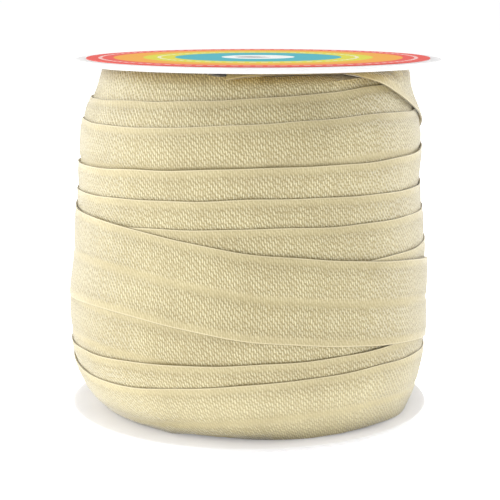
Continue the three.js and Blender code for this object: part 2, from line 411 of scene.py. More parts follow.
        half = tape.width / 2
        from_fold = s.math("ABSOLUTE", s.math("SUBTRACT", across, half))
        uneven = s.math("SUBTRACT", s.noise(place, self.fuzz_scale), 0.5)
        waver = s.math("MULTIPLY", uneven, self.fuzz * 2)
        border = s.math("ADD", from_fold, waver)
        past_fold = s.rise(border, tape.fold_half - self.fuzz, tape.fold_half + self.fuzz)
        band_end = half - tape.selvage
        in_band = s.rise(border, band_end + self.fuzz, band_end - self.fuzz)
        knit = s.math("MULTIPLY", past_fold, in_band)
        shown = s.math("MULTIPLY_ADD", knit, 1 - self.edge_knit, self.edge_knit)

        knit_colour = s.blend(thread, self.ground, self.thread)
        edge_colour = s.blend(s.rise(from_fold, *self.fold_reach), self.fold, self.selvage)
        colour = s.blend(shown, edge_colour, knit_colour)
        # Painted highlight: the first tone makes the last threads at both edges paler.
        # Painted shade: the second tone darkens the narrow sides, standing in for the shade between the
        # turns.
        for tone, (start, whole) in ((self.rim, self.edge_highlight_reach), (self.side, self.gap_shade_reach)):
            colour = s.blend(s.rise(from_fold, half - start, half - whole), colour, tone)
        # Painted light and shade: each band is lighter in its middle, mixed half and half with a broad random
        # cloud of tone.
        cloud = s.rise(s.noise(place, self.cloud_scale, detail=4.0), *NOISE_RANGE)
        from_middle = s.math("ABSOLUTE", s.math("SUBTRACT", from_fold, band_end / 2))
        bulge_light = s.rise(from_middle, *self.bulge_light)
        cloud_and_bulge_light = s.math("MULTIPLY_ADD", cloud, 0.5, s.math("MULTIPLY", bulge_light, 0.5))
        shade = s.blend(cloud_and_bulge_light, self.painted_shade_tint, WHITE)
        height = s.math("MULTIPLY", shown, thread)
        gloss = s.math("MULTIPLY", knit, thread)
        level = s.node("SeparateXYZ", {0: s.node("TexCoord").outputs["Object"]}).outputs[2]
        # Painted light: the lowest rows are made lighter by height.
        low = s.rise(level, self.foot_light_reach[0] * MM, self.foot_light_reach[1] * MM)
        colour = s.blend(s.math("MULTIPLY", low, self.foot_light_share), colour, self.foot_light)
        # Painted shade: the rows just under the upper flange are made darker by height.
        high = s.rise(level, self.under_flange_shade_reach[0] * MM, self.under_flange_shade_reach[1] * MM)
        shade = s.blend(1.0, shade, s.blend(high, WHITE, self.under_flange_shade), "MULTIPLY")
        return s.surface(
            Base_Color=s.blend(1.0, colour, shade, "MULTIPLY"),
            Roughness=s.math("MULTIPLY_ADD", gloss, -self.polish, self.roughness),
            IOR=1.8,
            Specular_IOR_Level=0.72,
            Sheen_Weight=self.sheen,
            Sheen_Roughness=0.3,
            Sheen_Tint=rgb(255, 253, 246),
            Normal=s.bump(height, self.relief),
        )


@dataclass(frozen=True)
class PlasticFinish:
    """Thin moulded white plastic that lets a little light through.

    Attributes:
        colour: its colour.
        deeper: its colour where the plastic is denser.
        roughness: how soft its gloss is.
    """

    colour: Colour = rgb(221, 220, 222)
    deeper: Colour = rgb(216, 215, 217)
    roughness: float = 0.38

    def material(self) -> bpy.types.Material:
        """Makes the finish, with the faint unevenness of a moulded face.

        Returns:
            The material.
        """
        s = Shader("white_plastic")
        place = s.node("TexCoord").outputs["Object"]
        mottle = s.noise(place, scale=900.0, detail=3.0)
        cloud = s.rise(s.noise(place, scale=60.0), *NOISE_RANGE)
        tone = s.blend(cloud, self.colour, self.deeper)
        return s.surface(
            Base_Color=tone,
            Roughness=self.roughness,
            Subsurface_Weight=0.8,
            Subsurface_Radius=(1.0, 1.0, 1.0),
            Subsurface_Scale=5 * MM,
            Normal=s.bump(mottle, depth=0.01),
        )


@dataclass(frozen=True)
class BoardFinish:
    """Rolled kraft board.

    Attributes:
        colour: its colour.
        fibre: colour of its darker fibres.
    """

    colour: Colour = rgb(205, 182, 142)
    fibre: Colour = rgb(171, 144, 104)

    def material(self) -> bpy.types.Material:
        """Makes the finish, with fibres and a matt face.

        Returns:
            The material.
        """
        s = Shader("kraft_board")
        place = s.node("TexCoord").outputs["Object"]
        fibres = s.noise(place, scale=1500.0, detail=5.0)
        tone = s.blend(s.rise(fibres, low=0.35, high=0.7), self.colour, self.fibre)
        return s.surface(Base_Color=tone, Roughness=0.9, Normal=s.bump(fibres, depth=0.05))


@dataclass(frozen=True)
class Ring:
    """A printed ring of the label.

    Attributes:
        outer: its outer radius.
        colour: its colour.
    """

    outer: float
    colour: Colour


@dataclass(frozen=True)
class LabelFinish:
    """Coated paper printed with plain rings, and a running stitch round two of them.

    Attributes:
        centre_x: where the rings' middle is.
        rings: from the outermost ring in.
        lines: radius of each stitched line, and how many stitches go round it.
        stitch_width: how far from a line's middle its stitches end and are whole.
        stitch_length: the same along it, as a share of the distance from stitch to stitch.
        stitch: colour of the stitched lines.
    """

    centre_x: float
    rings: tuple[Ring, ...] = (
        Ring(34.0, rgb(236, 66, 52)),
        Ring(28.4, rgb(244, 168, 12)),
        Ring(22.6, rgb(222, 216, 6)),
        Ring(16.4, rgb(36, 176, 190)),
        Ring(7.2, rgb(248, 248, 246)),
    )
    lines: tuple[tuple[float, int], ...] = ((31.0, 90), (19.5, 56))
    stitch_width: tuple[float, float] = (0.42, 0.3)
    stitch_length: tuple[float, float] = (0.32, 0.28)
    stitch: Colour = rgb(250, 248, 240)

    def material(self) -> bpy.types.Material:
        """Makes the finish.

        Returns:
            The material.
        """
        s = Shader("printed_paper")
        place = s.node("TexCoord").outputs["Object"]
        centred = s.node("Mapping", {"Vector": place, "Location": (-self.centre_x * MM, 0.0, 0.0)})
        split = s.node("SeparateXYZ", {0: centred.outputs[0]})
        x, y = split.outputs[0], split.outputs[1]
        squares = s.math("ADD", s.math("MULTIPLY", x, x), s.math("MULTIPLY", y, y))
        radius = s.math("DIVIDE", s.math("SQRT", squares), MM)
        turn = s.math("DIVIDE", s.math("ARCTAN2", y, x), 2 * math.pi)
        colour: object = self.rings[0].colour
        for ring in self.rings[1:]:
            inside = s.math("LESS_THAN", radius, ring.outer)
            colour = s.blend(inside, colour, ring.colour)
        for at, count in self.lines:
            near = s.rise(s.math("ABSOLUTE", s.math("SUBTRACT", radius, at)), *self.stitch_width)
            beat = s.math("FRACT", s.math("MULTIPLY", turn, float(count)))
            on = s.rise(s.math("ABSOLUTE", s.math("SUBTRACT", beat, 0.5)), *self.stitch_length)
            colour = s.blend(s.math("MULTIPLY", near, on), colour, self.stitch)
        grain = s.noise(place, scale=2500.0, detail=3.0)
        return s.surface(Base_Color=colour, Roughness=0.42, Normal=s.bump(grain, depth=0.006))


@dataclass(frozen=True)
class FloorFinish:
    """The studio's plain white floor.

    Attributes:
        colour: its colour.
        glow: light that it gives off by itself.
    """

    colour: Colour = rgb(250, 250, 250)
    glow: float = 0.585

    def material(self) -> bpy.types.Material:
        """Makes the finish.

        Returns:
            The material.
        """
        s = Shader("studio_floor")
        return s.surface(
            Base_Color=self.colour,
            Roughness=0.9,
            Emission_Color=(1.0, 1.0, 1.0),
            Emission_Strength=self.glow,
        )


class Hands:
    """The steps by which a mesh is shaped."""

    @staticmethod
    def put_down() -> None:
        """Deselects everything, so that the next step acts on its own piece alone."""
        if bpy.context.object and bpy.context.object.mode != "OBJECT":
            bpy.ops.object.mode_set(mode="OBJECT")
        bpy.ops.object.select_all(action="DESELECT")

    @staticmethod
    def take(piece: bpy.types.Object) -> None:
        """Makes a piece the only one selected.

        Args:
            piece: the piece to work on.
        """
        Hands.put_down()
        piece.select_set(True)
        bpy.context.view_layer.objects.active = piece

    @staticmethod
    def name(piece: bpy.types.Object, name: str) -> bpy.types.Object:
        """Names a new piece and its mesh, and moves its place into the mesh.

        Args:
            piece: the new piece.
            name: its name.

        Returns:
            The same piece.
        """
        piece.name = name
        piece.data.name = name
        Hands.take(piece)
        bpy.ops.object.transform_apply(location=True, rotation=True, scale=True)
        return piece

    @staticmethod
    def apply(piece: bpy.types.Object, kind: str, **settings: object) -> None:
        """Adds a modifier to a piece and applies it.

        Args:
            piece: the piece.
            kind: the modifier's type.
            settings: the modifier's own settings.
        """
        Hands.take(piece)
        modifier = piece.modifiers.new(kind.title(), kind)
        for key, value in settings.items():
            setattr(modifier, key, value)
        bpy.ops.object.modifier_apply(modifier=modifier.name)

    @staticmethod
    def smooth(piece: bpy.types.Object, sharpest: float) -> None:
        """Shades a piece smooth where its faces turn by no more than sharpest, in degrees."""
        Hands.take(piece)
        bpy.ops.object.shade_smooth_by_angle(angle=math.radians(sharpest))

    @staticmethod
    def finish(piece: bpy.types.Object, material: bpy.types.Material, slot: Slot, *nodes: str) -> None:
        """Dresses a piece and sets it on the frame.

        Args:
            piece: the piece.
            material: its finish.
            slot: the record's slot that the finish belongs to; not used.
            nodes: the frame's nodes that it stands for.
        """
        piece.data.materials.clear()
        piece.data.materials.append(material)
        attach(piece, "root")
        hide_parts(*nodes)
        log.info("%s: %d faces, for %s", piece.name, len(piece.data.polygons), ", ".join(nodes))


@dataclass(frozen=True)
class WrappedSheet:
    """A grid that is rolled round its own section into a closed strip.

    Attributes:
        name: the piece's name.
        points: a point for each place along the strip and each place round its section, in
            millimetres. The section closes by itself.
        chart: the same for the map: metres along and metres down from the upper edge.
        chart_name: the map's name.
        closed: whether the last section meets the first.
    """

    name: str
    points: Points
    chart: Points
    chart_name: str
    closed: bool = False

    def build(self) -> bpy.types.Object:
        """Makes the piece.

        Returns:
            The piece, closed and with its faces outwards.
        """
        points = np.concatenate([self.points, self.points[:, :1]], axis=1)
        chart = np.concatenate([self.chart, self.chart[:, :1]], axis=1)
        if self.closed:
            points = np.concatenate([points, points[:1]], axis=0)
            chart = np.concatenate([chart, chart[:1]], axis=0)
        along, around = points.shape[0] - 1, points.shape[1] - 1
        Hands.put_down()
        bpy.ops.mesh.primitive_grid_add(x_subdivisions=along, y_subdivisions=around, size=2)
        piece = bpy.context.object
        mesh = piece.data
        flat = np.empty(len(mesh.vertices) * 3)
        mesh.vertices.foreach_get("co", flat)
        flat = flat.reshape(-1, 3)
        i = np.rint((flat[:, 0] + 1) / 2 * along).astype(int)
        j = np.rint((flat[:, 1] + 1) / 2 * around).astype(int)
        mesh.vertices.foreach_set("co", (points[i, j] * MM).ravel())
        corner = np.empty(len(mesh.loops), int)
        mesh.loops.foreach_get("vertex_index", corner)
        mesh.uv_layers[0].name = self.chart_name
        mesh.uv_layers[0].data.foreach_set("uv", chart[i[corner], j[corner]].ravel())
        mesh.update()
        Hands.name(piece, self.name)
        bpy.ops.object.mode_set(mode="EDIT")
        bpy.ops.mesh.select_all(action="SELECT")
        bpy.ops.mesh.remove_doubles(threshold=1e-6)
        if not self.closed:
            bpy.ops.mesh.select_all(action="DESELECT")
            bpy.ops.mesh.select_mode(type="EDGE")
            bpy.ops.mesh.select_non_manifold()
            bpy.ops.mesh.fill_holes(sides=0)
        bpy.ops.mesh.select_all(action="SELECT")
        bpy.ops.mesh.normals_make_consistent(inside=False)
        bpy.ops.object.mode_set(mode="OBJECT")
        Hands.smooth(piece, 50)
        return piece


@dataclass(frozen=True)
class TapeSection:
    """The tape's cross-section.

    Attributes:
        width: across the tape.
        thickness: through it at its edges.
        selvage: width of the smooth strip along each edge.
        fold_half: half the width of the fold down its middle.
        fold_depth: how far the fold is drawn in.
        plump: how far the knitted bands stand over the selvages.
        chart: the name of the map that every tape piece has.
    """

    width: float = 16.0
    thickness: float = 0.4
    selvage: float = 1.4
    fold_half: float = 0.75
    fold_depth: float = 0.14
    plump: float = 0.07
    chart: str = "tape"

    def outline(self) -> tuple[Points, Points]:
        """Works out the section.

        Returns:
            For each point round it, how far it lies from the upper edge, and how far outside the
            tape's outer face.
        """
        middle = self.width / 2
        half = self.thickness / 2
        to_middle = [
            (0.0, -half),
            (0.05, -0.4 * half),
            (0.17, -0.08 * half),
            (0.5, 0.0),
            (self.selvage - 0.12, -0.01),
            (self.selvage + 0.15, 0.8 * self.plump),
            (self.selvage + 1.1, self.plump),
            (middle - 2.6, self.plump),
            (middle - self.fold_half - 0.2, 0.7 * self.plump),
            (middle - 0.6 * self.fold_half, -0.6 * self.fold_depth),
        ]
        mirrored = [(self.width - down, out) for down, out in reversed(to_middle)]
        inside = [(self.width - 0.15, -0.85), (middle, -1.0), (0.15, -0.85)]
        back = [(down, share * self.thickness) for down, share in inside]
        points = [*to_middle, (middle, -self.fold_depth), *mirrored, *back]
        down, out = np.array(points).T
        return down, out


@dataclass(frozen=True)
class RollSide:
    """The roll's side, seen in section: up its side and in along both flanges.

    Attributes:
        centre_x: where the roll's middle is.
        bottom: height of its lower end.
        top: height of its upper end.
        rows: pairs of height and radius.
        lean: pairs of height and how far the roll leans to the right there.
        round: radius of its upper corner.
        foot_round: radius of its lower one.
        shoulder: least radius of the side under the loose end.
        pocket: angles between which its top is pressed down under the loose end.
        pocket_depth: how far.
        pocket_blend: over how many degrees.
    """

    centre_x: float = -0.9
    bottom: float = 1.03
    top: float = 68.45
    rows: tuple[tuple[float, float], ...] = (
        (1.3, 31.2),
        (3.0, 32.3),
        (5.0, 33.4),
        (9.5, 34.9),
        (13.0, 35.6),
        (18.0, 35.8),
        (24.0, 35.6),
        (30.0, 35.2),
        (36.0, 34.85),
        (42.0, 34.4),
        (47.0, 34.15),
        (54.0, 34.0),
        (58.5, 33.2),
        (61.0, 32.2),
        (64.5, 30.5),
        (68.5, 29.1),
    )
    lean: tuple[tuple[float, float], ...] = (
        (1.3, 1.7),
        (3.0, 0.9),
        (5.0, 0.45),
        (9.0, 0.0),
        (13.0, -0.2),
        (18.0, -0.4),
        (22.0, -0.35),
        (26.0, -0.05),
        (30.0, 0.25),
        (36.0, 0.3),
        (42.0, 0.1),
        (46.0, 0.0),
        (52.0, 0.25),
        (56.0, 0.35),
        (60.0, 0.28),
        (64.0, 0.48),
        (68.5, 0.45),
    )
    round: float = 1.1
    foot_round: float = 0.4
    shoulder: float = 30.6
    pocket: tuple[float, float] = (-19.0, 131.0)
    pocket_depth: float = 0.58
    pocket_blend: float = 9.0

    def radius(self, height: Points) -> Points:
        """Gives the side's radius at a height."""
        return Curve(self.rows)(height)

    def heading(self, height: Points) -> Points:
        """Gives the side's direction at a height.

        Args:
            height: the heights.

        Returns:
            The directions, in radians: 0 is outwards and a quarter turn is up.
        """
        step = 0.2
        rise = self.radius(height + step) - self.radius(height - step)
        return np.arctan2(2 * step, rise)

    def top_at(self, angle: Points) -> Points:
        """Gives the height of the roll's top round the roll.

        Args:
            angle: angles round the roll, in degrees.

        Returns:
            The heights.
        """
        turned = np.mod(np.asarray(angle, float) + 180, FULL_TURN) - 180
        into = np.minimum(turned - self.pocket[0], self.pocket[1] - turned)
        return self.top - self.pocket_depth * smooth_step(into, 0, self.pocket_blend)

    def length_to(self, height: Points) -> Points:
        """Gives the length along the section up to a height, from its lower end.

        Args:
            height: the heights. One past either end counts as length along the flange.

        Returns:
            The lengths.
        """
        steps = np.linspace(self.bottom, self.top, SIDE_STEPS)
        pieces = np.hypot(np.diff(steps), np.diff(self.radius(steps)))
        lengths = np.concatenate([[0.0], np.cumsum(pieces)])
        inside = np.interp(height, steps, lengths)
        return inside + np.maximum(height - self.top, 0) + np.minimum(height - self.bottom, 0)

    def height_at(self, length: Points) -> Points:
        """Gives the height on the side at a length along the section, the reverse of length_to."""
        steps = np.linspace(self.bottom, self.top, SIDE_STEPS)
        return np.interp(length, self.length_to(steps), steps)

    def place(self, length: Points, angle: Points) -> tuple[Points, Points, Points]:
        """Finds points of the section.

        Args:
            length: lengths along it from its lower end.
            angle: angles round the roll, in degrees.

        Returns:
            The radii, the heights and the headings there.
        """
        ceiling = self.top_at(angle)
        up = self.heading(ceiling - self.round)
        high = ceiling - self.round * (1 + np.cos(up))
        out = self.heading(np.full_like(ceiling, self.bottom + self.foot_round))
        low = self.bottom + self.foot_round * (1 - np.cos(out))
        over = np.maximum(length - self.length_to(high), 0)
        under = np.maximum(self.length_to(low) - length, 0)
        height = np.clip(self.height_at(length), low, high)
        radius = self.radius(height)
        heading = self.heading(height)
        turned_in = np.minimum(up + over / self.round, math.pi)
        turned_out = np.maximum(out - under / self.foot_round, 0)
        flat_top = np.maximum(over - self.round * (math.pi - up), 0)
        flat_bottom = np.maximum(under - self.foot_round * out, 0)
        radius = np.where(over > 0, radius + self.round * (np.sin(turned_in) - np.sin(up)) - flat_top, radius)
        height = np.where(over > 0, high + self.round * (np.cos(up) - np.cos(turned_in)), height)
        heading = np.where(over > 0, turned_in, heading)
        drawn = self.foot_round * (np.sin(out) - np.sin(turned_out)) + flat_bottom
        radius = np.where(under > 0, radius - drawn, radius)
        dropped = self.foot_round * (np.cos(turned_out) - np.cos(out))
        height = np.where(under > 0, low - dropped, height)
        heading = np.where(under > 0, turned_out, heading)
        return radius, height, heading

    def point(self, angle: Points, radius: Points, height: Points) -> Points:
        """Gives the place in space of points on the roll.

        Args:
            angle: angles round the roll, in degrees.
            radius: distances from the roll's middle.
            height: heights.

        Returns:
            The points.
        """
        turn = np.radians(angle)
        x = self.centre_x + Curve(self.lean)(height) + radius * np.sin(turn)
        return np.stack(np.broadcast_arrays(x, -radius * np.cos(turn), height), axis=-1)


@dataclass(frozen=True)
class Wrap:
    """Where the upper edge of a wrap runs, at five places from right to left across the front.

    Attributes:
        right: its height at 80 degrees.
        near_right: at 40 degrees.
        front: at the front.
        near_left: at -40 degrees.
        left: at -80 degrees.
        proud: the share of the tape's thickness by which the edge stands out.
    """

    right: float
    near_right: float
    front: float
    near_left: float
    left: float
    proud: float = 1.0

    def heights(self) -> tuple[float, ...]:
        """Gives the five heights in the order of travel."""
        return (self.right, self.near_right, self.front, self.near_left, self.left)


@dataclass(frozen=True)
class Winding:
    """How the tape is wound: the run of its upper edge, and how its turns lie over one another.

    Attributes:
        side: the roll's side.
        tape: the tape's section.
        wraps: the wraps from the top down. The last two only say how the lowest ones lie.
        last_wrap: pairs of travel and height of the upper edge, for the wrap that crosses the
            others.
        spread: pairs of travel and how much wider than the tape it lies, where it is pulled flat.
        lift: pairs of travel and the height at which it lies over the roll's side.
        leaves: travel at which it leaves the lowest wrap.
        starts: travel at which the modelled tape starts, under the upper wraps.
        ends: travel at which the loose end begins.
        settles: travel over which the last wrap comes to rest on the rows.
        rises: travel over which it comes off them again.
        follows: the share of the ledges under it that it shows between the two.
        bridged: the shifts in length over which those ledges are evened out.
        turns_over: how many of the turns over a turn of the rows count towards its depth.
        least_row: the least height that a row is taken to have.
        crevice: how far the tape sinks in just above the next wrap's edge.
        crevice_width: over what distance.
        crevice_end: how far under that edge the sink ends, in those distances.
        edge_ripple: unevenness of the edge's height.
        face_ripple: unevenness of the face.
    """

    side: RollSide = field(default_factory=RollSide)
    tape: TapeSection = field(default_factory=TapeSection)
    wraps: tuple[Wrap, ...] = (
        Wrap(80.2, 80.2, 80.2, 80.2, 80.2),
        Wrap(74.0, 72.5, 71.0, 70.0, 69.3),
        Wrap(66.0, 65.5, 64.1, 63.2, 62.5),
        Wrap(60.4, 60.8, 59.7, 58.6, 58.4),
        Wrap(52.9, 52.3, 52.0, 50.9, 50.0),
        Wrap(45.9, 46.3, 46.4, 45.5, 44.7),
        Wrap(41.0, 41.1, 41.2, 40.4, 39.4),
        Wrap(34.6, 34.2, 33.6, 32.6, 31.6),
        Wrap(29.0, 28.6, 28.0, 28.2, 28.4),
        Wrap(23.2, 22.8, 22.6, 24.3, 24.6),
        Wrap(17.2, 17.4, 16.6, 15.3, 14.4),
        Wrap(13.2, 14.1, 12.85, 9.9, 8.0),
        Wrap(6.8, 6.5, 5.1, 3.3, 2.6, proud=0.0),
        Wrap(-10.7, -10.7, -10.7, -10.7, -10.7, proud=0.0),
    )
    last_wrap: tuple[tuple[float, float], ...] = (
        (40.0, 10.2),
        (80.0, 10.6),
        (180.0, 19.5),
        (280.0, 30.9),
        (320.0, 34.1),
        (360.0, 36.9),
        (400.0, 40.2),
        (422.0, 41.0),
        (443.0, 41.2),
        (470.0, 43.6),
        (500.0, 48.6),
        (540.0, 55.4),
        (600.0, 66.6),
    )
    spread: tuple[tuple[float, float], ...] = (
        (380.0, 0.0),
        (405.0, 0.3),
        (429.0, 1.3),
        (443.0, 1.8),
        (480.0, 1.2),
        (530.0, 0.0),
    )
    lift: tuple[tuple[float, float], ...] = (
        (40.0, 0.0),
        (60.0, 0.1),
        (80.0, 0.24),
        (100.0, 0.4),
        (120.0, 0.48),
        (300.0, 0.4),
        (390.0, 0.36),
        (420.0, 0.3),
        (450.0, 0.3),
        (520.0, 0.5),
        (600.0, 0.6),
        (640.0, 0.65),
        (660.0, 1.0),
        (672.0, 1.25),
        (681.0, 1.1),
        (692.0, 0.6),
        (728.0, 0.55),
    )
    leaves: float = 40.0
    starts: float = -3840.0
    ends: float = 600.0
    settles: tuple[float, float] = (90.0, 140.0)
    rises: tuple[float, float] = (500.0, 560.0)
    follows: float = 0.3
    bridged: tuple[float, ...] = (-1.6, -0.8, 0.0, 0.8, 1.6)
    turns_over: int = 4
    least_row: float = 0.5
    crevice: float = 0.07
    crevice_width: float = 0.3
    crevice_end: float = 1.5
    edge_ripple: Ripple = Ripple(depth=0.1, shortest=23.0, longest=170.0, seed=11)
    face_ripple: Ripple = Ripple(depth=0.05, shortest=16.0, longest=120.0, seed=12)

    COLUMNS = (-80.0, -40.0, 0.0, 40.0, 80.0)

    def rows(self) -> list[tuple[float, float, float]]:
        """Lists the places of the table of wraps.

        Returns:
            Travel, height and proud share at each of them.
        """
        lowest = len(self.wraps) - 3
        return [
            ((turn - lowest) * FULL_TURN + column, height, wrap.proud)
            for turn, wrap in enumerate(self.wraps)
            for column, height in zip(self.COLUMNS, wrap.heights())
        ]

    def row_edge(self, travel: Points) -> Points:
        """Gives the height of the upper edge in the rows at each travel."""
        curve = Curve(tuple((at, height) for at, height, _ in self.rows()))
        return curve(travel) + self.edge_ripple(travel)

    def row_proud(self, travel: Points) -> Points:
        """Gives the share of its thickness by which the edge stands out at each travel."""
        at, _, proud = np.array(self.rows()).T
        return np.interp(travel, at, proud)

    def upper_edge(self, travel: Points) -> Points:
        """Gives the height of the tape's own upper edge, in the rows and in the last wrap.

        Args:
            travel: places along the tape.

        Returns:
            The heights.
        """
        in_rows = [(at, height) for at, height, _ in self.rows() if at < self.leaves]
        curve = Curve(tuple(in_rows) + self.last_wrap)
        return curve(travel) + self.edge_ripple(travel)

    def ledge(self, travel: Points, length: Points) -> Points:
        """Gives how deep a turn of the rows lies under the outermost face, by the turns over it.

        Args:
            travel: places along the tape.
            length: lengths along the roll's section.

        Returns:
            The depths, 0 or less.
        """
        edge = self.side.length_to(self.row_edge(travel))
        depth = np.zeros(np.broadcast_shapes(travel.shape, length.shape))
        for turn in range(1, self.turns_over + 1):
            after = travel + turn * FULL_TURN
            next_edge = self.side.length_to(self.row_edge(after))
            share = np.clip((edge - length) / np.maximum(edge - next_edge, self.least_row), 0, 1)
            proud = self.row_proud(after)
            depth = depth - self.tape.thickness * proud * share
            above = (length - next_edge) / self.crevice_width
            depth = depth - self.crevice * proud * np.exp(-(above**2)) * (above > -self.crevice_end)
            edge = next_edge
        return depth

    def outermost(self, travel: Points, length: Points) -> Points:
        """Gives the depth of the rows' outermost face at a place that another wrap crosses.

        Args:
            travel: places along the crossing wrap.
            length: lengths along the roll's section.

        Returns:
            The depths, 0 or less.
        """
        depth = np.zeros(np.broadcast_shapes(travel.shape, length.shape))
        for turn in range(0, len(self.wraps)):
            under = travel - turn * FULL_TURN
            edge = self.side.length_to(self.row_edge(under))
            next_edge = self.side.length_to(self.row_edge(under + FULL_TURN))
            share = (edge - length) / np.maximum(edge - next_edge, self.least_row)
            here = (share >= 0) & (share < 1)
            drop = self.tape.thickness * self.row_proud(under + FULL_TURN) * share
            depth = np.where(here, -drop, depth)
        return depth

    def face(self, travel: Points, length: Points) -> Points:
        """Gives how far the tape's outer face lies outside the roll's side.

        Args:
            travel: places along the tape.
            length: lengths along the roll's section.

        Returns:
            The distances.
        """
        in_rows = self.ledge(travel, length)
        shifted = [self.outermost(travel, length + shift) for shift in self.bridged]
        under = sum(shifted) / len(shifted)
        settled = smooth_step(travel, *self.settles) * (1 - smooth_step(travel, *self.rises))
        crossing = Curve(self.lift)(travel) + self.follows * settled * under
        return np.where(travel > self.leaves, crossing, in_rows) + self.face_ripple(travel)


@dataclass(frozen=True)
class LooseRun:
    """The tape's run to its cut end: up the roll's side and in under the upper flange.

    Attributes:
        winding: the winding that it belongs to.
        lower_edge: pairs of travel and height of the lower edge.
        bend: radius of its outer face where it turns in.
        ceiling: height of its outer face under the flange.
        starts: travel from which the tape follows this run.
        joins: over how many degrees it goes over to it.
        cut: travel of the cut end.
    """

    winding: Winding
    lower_edge: tuple[tuple[float, float], ...] = (
        (600.0, 50.6),
        (620.0, 54.9),
        (640.0, 59.4),
        (650.0, 61.5),
        (660.0, 63.9),
        (670.0, 65.9),
        (675.0, 66.7),
        (679.0, 67.3),
        (684.0, 68.15),
        (690.0, 68.42),
        (708.0, 68.42),
        (715.0, 68.3),
        (723.0, 67.85),
        (728.5, 67.3),
    )
    bend: float = 2.1
    ceiling: float = 68.45
    starts: float = 520.0
    joins: float = 30.0
    cut: float = 728.5

    def place(self, travel: Points, down: Points) -> tuple[Points, Points, Points]:
        """Finds points of the outer face.

        Args:
            travel: places along the tape.
            down: distances from its upper edge.

        Returns:
            The radii, the heights and the headings there.
        """
        side = self.winding.side
        width = self.winding.tape.width
        before = self.winding.upper_edge(travel) - width
        lowest = np.where(travel < self.winding.ends, before, Curve(self.lower_edge)(travel))
        clear = Curve(self.winding.lift)(travel)
        start = self.ceiling - self.bend

        def outward(height: Points) -> Points:
            """Gives the radius of the outer face where it stands upright."""
            return np.maximum(side.radius(height), side.shoulder) + clear

        centre = outward(start) - self.bend
        first = np.arcsin(np.clip((lowest - start) / self.bend, 0, 1))
        upright = np.maximum(start - lowest, 0)
        up = width - down
        on_side = np.minimum(up, upright)
        height = np.minimum(lowest, start) + on_side
        heading = np.where(lowest < start, side.heading(height), math.pi / 2)
        turned = np.clip(first + (up - upright) / self.bend, 0, math.pi / 2)
        level = np.maximum(up - upright - self.bend * (math.pi / 2 - first), 0)
        past = (up > upright) | (upright <= 0)
        radius = np.where(past, centre + self.bend * np.cos(turned) - level, outward(height))
        height = np.where(past, start + self.bend * np.sin(turned), height)
        heading = np.where(past, math.pi / 2 + turned, heading)
        return radius, height, heading


